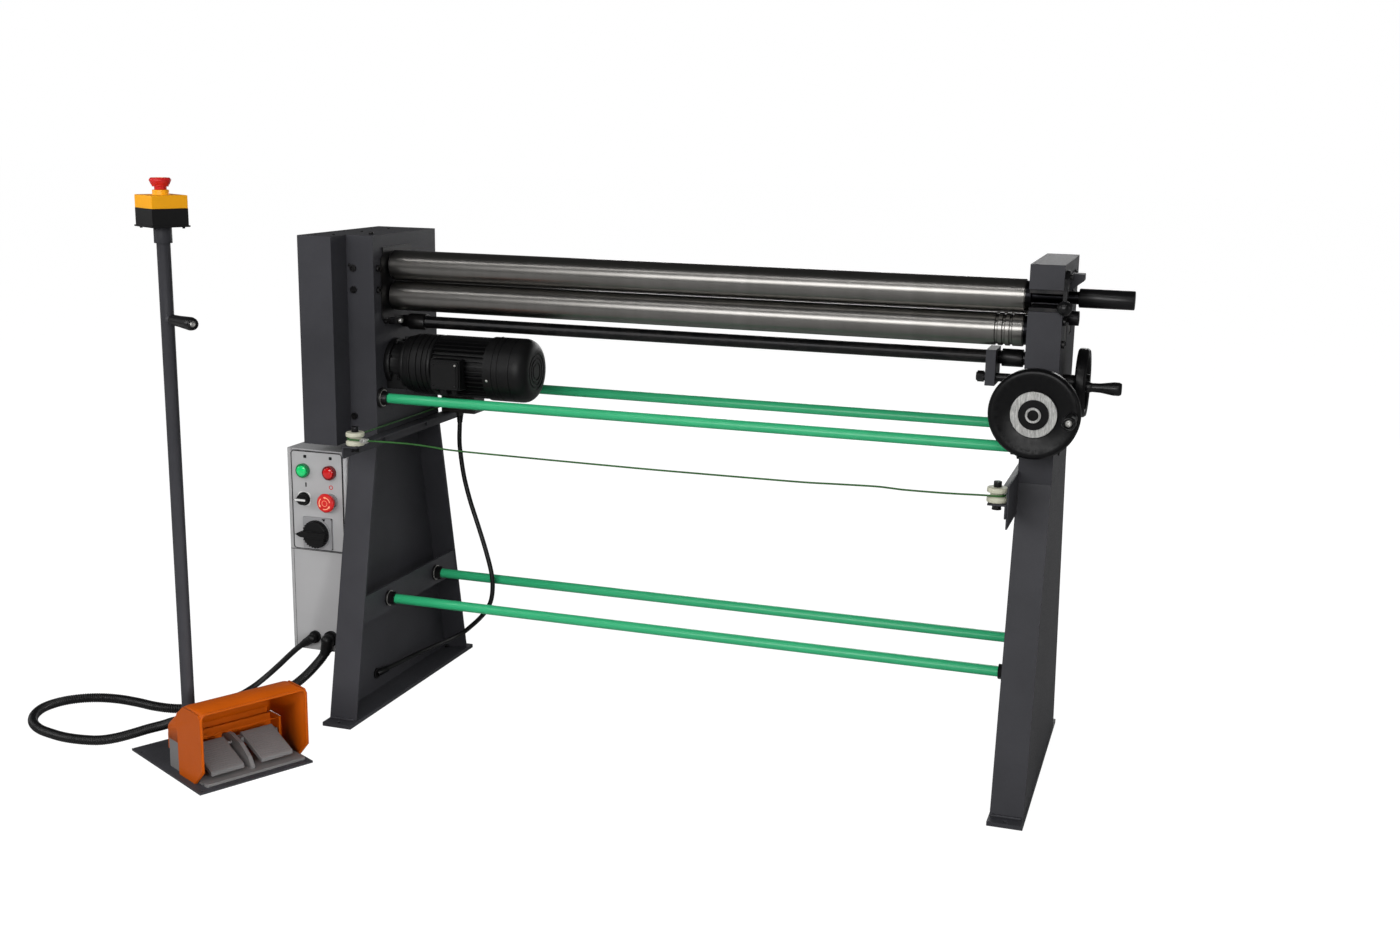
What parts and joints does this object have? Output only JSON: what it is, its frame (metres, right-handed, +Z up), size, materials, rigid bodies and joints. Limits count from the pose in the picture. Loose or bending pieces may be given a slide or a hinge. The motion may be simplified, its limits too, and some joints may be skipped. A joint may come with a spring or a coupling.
{
  "type": "plate bending machine",
  "caption": "Motor-driven plate rolls between two floor stands, with hand wheels, control box, safety rope and foot pedal unit on a post.",
  "frame": {"origin": "on the floor, at the centre of the four anchor holes, midway between the heads", "axes": "+X along the rolls to the hand wheel end, +Y to the back, +Z up"},
  "size_m": [2.1118, 0.9333, 1.102],
  "materials": {
    "frame_paint": "fine hammered enamel",
    "bar_paint": "gloss enamel",
    "roll_steel": "ground",
    "bare_steel": "machined",
    "black_steel": "blackened",
    "black_iron": "gloss black enamel",
    "motor_casting": "black enamel",
    "black_plastic": "moulded",
    "switch_plastic": "moulded",
    "dial_metal": "brushed",
    "pulley_nylon": "turned nylon",
    "rope_cover": "plastic covered",
    "box_paint": "fine textured paint",
    "panel_paint": "satin",
    "green_lens": "clear moulded",
    "red_lens": "clear moulded",
    "stop_red": "moulded",
    "box_yellow": "moulded",
    "guard_orange": "moulded",
    "pedal_grey": "ribbed",
    "cable_rubber": "smooth",
    "hose_plastic": "corrugated"
  },
  "bodies": {
    "root": {"left_stand": "frame_paint", "right_stand": "frame_paint", "left_head": "frame_paint", "right_head": "frame_paint", "lower_tie_bars": "bar_paint", "upper_tie_bars": "bar_paint", "tie_bar_nuts": "black_steel", "frame_bolts": "black_steel", "gear_cover": "frame_paint", "gearbox": "motor_casting", "motor_body": "motor_casting", "fan_cover": "black_steel", "terminal_box": "black_plastic", "rope_beams": "frame_paint", "safety_rope": "rope_cover", "rope_switch": "switch_plastic", "switch_cable": "cable_rubber", "control_box": "box_paint", "control_panel": "panel_paint", "panel_fittings": "black_plastic", "cable_glands": "black_plastic", "pedal_plate": "frame_paint", "pedal_base": "pedal_grey", "pedal_guard": "guard_orange", "control_post": "frame_paint", "post_box": "black_plastic", "post_lid": "box_yellow", "pedal_hose": "hose_plastic", "post_cable": "cable_rubber", "shaft_bracket": "frame_paint"},
    "top_swivel": {"top_roll_bush": "bare_steel"},
    "top_roll": {"top_roll": "roll_steel", "top_roll_grip": "black_plastic"},
    "top_gear": {"top_gear": "bare_steel"},
    "lower_blocks": {"lower_roll_blocks": "bare_steel"},
    "lower_roll": {"lower_roll": "roll_steel", "lower_gear": "bare_steel"},
    "rear_blocks": {"rear_roll_blocks": "bare_steel"},
    "rear_roll": {"rear_roll": "roll_steel"},
    "idler": {"idler_gear": "bare_steel"},
    "pinion": {"motor_pinion": "bare_steel"},
    "front_wheel": {"front_wheel": "black_iron", "dial_ring": "dial_metal"},
    "front_grip": {"front_wheel_grip": "black_plastic"},
    "side_wheel": {"side_wheel": "black_iron", "side_spindle": "black_steel"},
    "side_grip": {"side_wheel_grip": "black_plastic"},
    "cross_shaft": {"cross_shaft": "black_steel"},
    "latch": {"latch_lever": "black_steel"},
    "left_pulley": {"left_pulley": "pulley_nylon"},
    "right_pulley": {"right_pulley": "pulley_nylon"},
    "start_button": {"start_button": "green_lens"},
    "stop_button": {"stop_button": "red_lens"},
    "panel_stop": {"panel_stop": "stop_red"},
    "selector": {"selector_knob": "black_plastic"},
    "main_switch": {"main_switch_knob": "black_plastic"},
    "post_stop": {"post_stop": "stop_red"},
    "left_pedal": {"left_pedal": "pedal_grey"},
    "right_pedal": {"right_pedal": "pedal_grey"},
    "post_handle": {"post_handle": "black_plastic"}
  },
  "joints": [
    {"name": "top_roll_swing", "type": "hinge", "parent": "root", "child": "top_swivel", "pos_m": [-0.675, -0.054, 0.924], "axis": [0, 0, 1], "range_deg": [-6, 0]},
    {"name": "top_roll_spin", "type": "hinge", "parent": "top_swivel", "child": "top_roll", "pos_m": [0, -0.054, 0.924], "axis": [1, 0, 0], "continuous": true},
    {"name": "top_gear_spin", "type": "hinge", "parent": "root", "child": "top_gear", "pos_m": [-0.73, -0.054, 0.924], "axis": [1, 0, 0], "continuous": true},
    {"name": "lower_roll_lift", "type": "slide", "parent": "root", "child": "lower_blocks", "axis": [0, 0, 1], "range_m": [-0.005, 0]},
    {"name": "lower_roll_spin", "type": "hinge", "parent": "lower_blocks", "child": "lower_roll", "pos_m": [0, -0.054, 0.862], "axis": [1, 0, 0], "continuous": true},
    {"name": "rear_roll_lift", "type": "slide", "parent": "root", "child": "rear_blocks", "axis": [0, 0, 1], "range_m": [0, 0.05]},
    {"name": "rear_roll_spin", "type": "hinge", "parent": "rear_blocks", "child": "rear_roll", "pos_m": [0, 0.022, 0.872], "axis": [1, 0, 0], "continuous": true},
    {"name": "idler_spin", "type": "hinge", "parent": "root", "child": "idler", "pos_m": [-0.748, -0.02207, 0.81612], "axis": [1, 0, 0], "continuous": true},
    {"name": "pinion_spin", "type": "hinge", "parent": "root", "child": "pinion", "pos_m": [-0.748, -0.054, 0.724], "axis": [1, 0, 0], "continuous": true},
    {"name": "front_wheel_turn", "type": "hinge", "parent": "root", "child": "front_wheel", "pos_m": [0.675, -0.209, 0.737], "axis": [0, 1, 0], "range_deg": [0, 720]},
    {"name": "front_grip_spin", "type": "hinge", "parent": "front_wheel", "child": "front_grip", "pos_m": [0.74, -0.25, 0.737], "axis": [0, 1, 0], "continuous": true},
    {"name": "side_wheel_turn", "type": "hinge", "parent": "root", "child": "side_wheel", "pos_m": [0.738, -0.036, 0.77036], "axis": [1, 0, 0], "range_deg": [0, 3600]},
    {"name": "side_grip_spin", "type": "hinge", "parent": "side_wheel", "child": "side_grip", "pos_m": [0.78, -0.0865, 0.77036], "axis": [1, 0, 0], "continuous": true},
    {"name": "cross_shaft_turn", "type": "hinge", "parent": "root", "child": "cross_shaft", "pos_m": [0, -0.016, 0.805], "axis": [1, 0, 0], "range_deg": [-3600, 0]},
    {"name": "latch_swing", "type": "hinge", "parent": "root", "child": "latch", "pos_m": [0.709, -0.118, 0.966], "axis": [1, 0, 0], "range_deg": [-100, 0]},
    {"name": "left_pulley_spin", "type": "hinge", "parent": "root", "child": "left_pulley", "pos_m": [-0.626, -0.254, 0.60035], "axis": [0, 0, 1], "continuous": true},
    {"name": "right_pulley_spin", "type": "hinge", "parent": "root", "child": "right_pulley", "pos_m": [0.626, -0.254, 0.60035], "axis": [0, 0, 1], "continuous": true},
    {"name": "start_press", "type": "slide", "parent": "root", "child": "start_button", "axis": [0, 1, 0], "range_m": [0, 0.004], "stiffness_N_per_m": 300, "springref_m": -0.004},
    {"name": "stop_press", "type": "slide", "parent": "root", "child": "stop_button", "axis": [0, 1, 0], "range_m": [0, 0.004], "stiffness_N_per_m": 300, "springref_m": -0.004},
    {"name": "panel_stop_press", "type": "slide", "parent": "root", "child": "panel_stop", "axis": [0, 1, 0], "range_m": [0, 0.005], "stiffness_N_per_m": 300, "springref_m": -0.004},
    {"name": "post_stop_press", "type": "slide", "parent": "root", "child": "post_stop", "axis": [0, 0, -1], "range_m": [0, 0.005], "stiffness_N_per_m": 300, "springref_m": -0.004},
    {"name": "selector_turn", "type": "hinge", "parent": "root", "child": "selector", "pos_m": [-0.808, -0.165, 0.441], "axis": [0, 1, 0], "range_deg": [0, 90]},
    {"name": "main_switch_turn", "type": "hinge", "parent": "root", "child": "main_switch", "pos_m": [-0.777, -0.17, 0.37], "axis": [0, 1, 0], "range_deg": [0, 90]},
    {"name": "left_pedal_press", "type": "hinge", "parent": "root", "child": "left_pedal", "pos_m": [-0.79187, -0.54175, 0.04], "axis": [0.4695, 0.8829, 0], "range_deg": [0, 5], "stiffness_Nm_per_rad": 5, "springref_deg": -5.73},
    {"name": "right_pedal_press", "type": "hinge", "parent": "root", "child": "right_pedal", "pos_m": [-0.74399, -0.45169, 0.04], "axis": [0.4695, 0.8829, 0], "range_deg": [0, 5], "stiffness_Nm_per_rad": 5, "springref_deg": -5.73},
    {"name": "post_handle_spin", "type": "hinge", "parent": "root", "child": "post_handle", "pos_m": [-0.85013, -0.47453, 0.842], "axis": [-0.8829, 0.4695, 0], "continuous": true}
  ],
  "couplings": [
    {"joint": "top_gear_spin", "follows": "top_roll_spin", "ratio": 1},
    {"joint": "lower_roll_spin", "follows": "top_roll_spin", "ratio": -1},
    {"joint": "idler_spin", "follows": "top_roll_spin", "ratio": -0.8},
    {"joint": "pinion_spin", "follows": "top_roll_spin", "ratio": 1.4286},
    {"joint": "front_wheel_turn", "follows": "lower_roll_lift", "rad_per_m": -2513.3},
    {"joint": "side_wheel_turn", "follows": "rear_roll_lift", "rad_per_m": 1256.6},
    {"joint": "cross_shaft_turn", "follows": "rear_roll_lift", "rad_per_m": -1256.6},
    {"joint": "latch_swing", "follows": "top_roll_swing", "ratio": 16.666}
  ]
}
